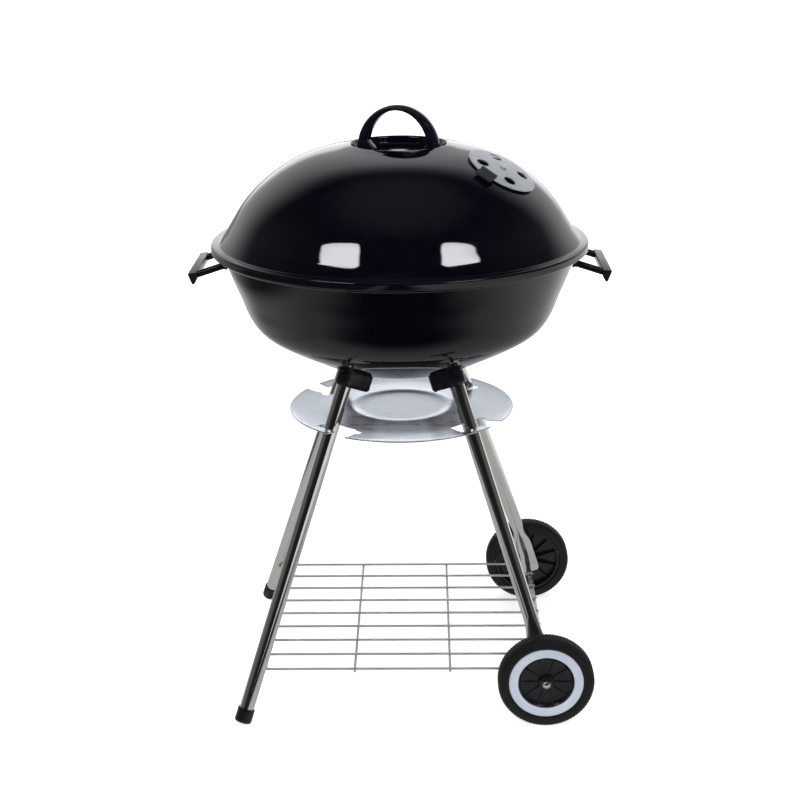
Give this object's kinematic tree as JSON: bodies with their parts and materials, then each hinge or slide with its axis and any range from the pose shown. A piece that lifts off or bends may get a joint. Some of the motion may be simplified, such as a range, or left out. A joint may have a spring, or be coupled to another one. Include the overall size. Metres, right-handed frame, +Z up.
{
  "type": "kettle charcoal grill",
  "caption": "Round kettle charcoal grill with lift-off vented lid, splayed tube legs, wire shelf, ash catcher and wheels on one side.",
  "frame": {"origin": "on the ground under the kettle's turning axis, which is the bottom centre of the whole object's box", "axes": "+Z up along the kettle's axis; +X towards the wheel side; -Y the front"},
  "size_m": [0.5086, 0.46, 0.73],
  "materials": {
    "enamel": "deep black porcelain enamel, high gloss",
    "phenolic": "black phenolic moulding, glossy",
    "black_plastic": "black moulded plastic, semi-gloss",
    "tab_plastic": "blue-black heat-resistant plastic, dull",
    "rubber": "black solid tyre, dull",
    "chrome": "bright chrome plate",
    "zinc": "zinc-plated steel",
    "pan_steel": "galvanised sheet, satin, bluish grey",
    "damper_alu": "satin aluminium",
    "wire": "nickel-plated wire",
    "grate_chrome": "chrome-plated wire",
    "white_ring": "pale blue-white plastic ring"
  },
  "bodies": {
    "frame": {"axle": "zinc", "axle_nut_front": "chrome", "axle_nut_rear": "chrome", "axle_washer_front": "zinc", "axle_washer_rear": "zinc", "bottom_damper_rivet": "zinc", "bowl_shell": "enamel", "foot_cap_front_left": "black_plastic", "foot_cap_rear_left": "black_plastic", "grate_bracket_1": "zinc", "grate_bracket_2": "zinc", "grate_bracket_3": "zinc", "grate_bracket_4": "zinc", "leg_bolt_front_left": "zinc", "leg_bolt_front_right": "zinc", "leg_bolt_rear_left": "zinc", "leg_bolt_rear_right": "zinc", "leg_front_left": "chrome", "leg_front_right": "chrome", "leg_insert_front_left": "zinc", "leg_insert_front_right": "zinc", "leg_insert_rear_left": "zinc", "leg_insert_rear_right": "zinc", "leg_rear_left": "chrome", "leg_rear_right": "chrome", "leg_socket_front_left": "black_plastic", "leg_socket_front_right": "black_plastic", "leg_socket_rear_left": "black_plastic", "leg_socket_rear_right": "black_plastic", "side_handle_left": "phenolic", "side_handle_right": "phenolic", "side_handle_screw_left_front": "zinc", "side_handle_screw_left_rear": "zinc", "side_handle_screw_right_front": "zinc", "side_handle_screw_right_rear": "zinc", "wire_shelf": "wire"},
    "lid": {"lid_shell": "enamel", "lid_handle": "phenolic", "lid_handle_screw_left": "zinc", "lid_handle_screw_right": "zinc", "lid_damper_rivet": "zinc"},
    "lid_damper": {"lid_damper_disc": "damper_alu", "lid_damper_tab": "tab_plastic"},
    "bottom_damper": {"bottom_damper_disc": "damper_alu", "bottom_damper_tab": "tab_plastic"},
    "front_wheel": {"wheel_tyre_front": "rubber", "wheel_hub_front": "black_plastic", "wheel_ring_front": "white_ring"},
    "rear_wheel": {"wheel_tyre_rear": "rubber", "wheel_hub_rear": "black_plastic", "wheel_ring_rear": "white_ring"},
    "ash_catcher": {"ash_catcher": "pan_steel"},
    "cooking_grate": {"cooking_grate": "grate_chrome"},
    "charcoal_grate": {"charcoal_grate": "grate_chrome"}
  },
  "joints": [
    {"name": "lid_lift", "type": "slide", "parent": "frame", "child": "lid", "axis": [0, 0, 1], "range_m": [0, 0.3]},
    {"name": "lid_damper_turn", "type": "hinge", "parent": "lid", "child": "lid_damper", "pos_m": [0.1219, -0.05684, 0.66182], "axis": [0.4425, -0.2063, 0.8727], "range_deg": [-45, 45]},
    {"name": "bottom_damper_turn", "type": "hinge", "parent": "frame", "child": "bottom_damper", "pos_m": [0, 0, 0.4075], "axis": [0, 0, 1], "range_deg": [0, 38]},
    {"name": "front_wheel_spin", "type": "hinge", "parent": "frame", "child": "front_wheel", "pos_m": [0.175, -0.179, 0.0586], "axis": [0, 1, 0], "continuous": true},
    {"name": "rear_wheel_spin", "type": "hinge", "parent": "frame", "child": "rear_wheel", "pos_m": [0.175, 0.179, 0.0586], "axis": [0, 1, 0], "continuous": true},
    {"name": "ash_catcher_turn", "type": "hinge", "parent": "frame", "child": "ash_catcher", "pos_m": [0, 0, 0.353], "axis": [0, 0, 1], "range_deg": [-10, 0]},
    {"name": "cooking_grate_lift", "type": "slide", "parent": "frame", "child": "cooking_grate", "axis": [0, 0, 1], "range_m": [0, 0.03]},
    {"name": "charcoal_grate_lift", "type": "slide", "parent": "frame", "child": "charcoal_grate", "axis": [0, 0, 1], "range_m": [0, 0.065]}
  ]
}
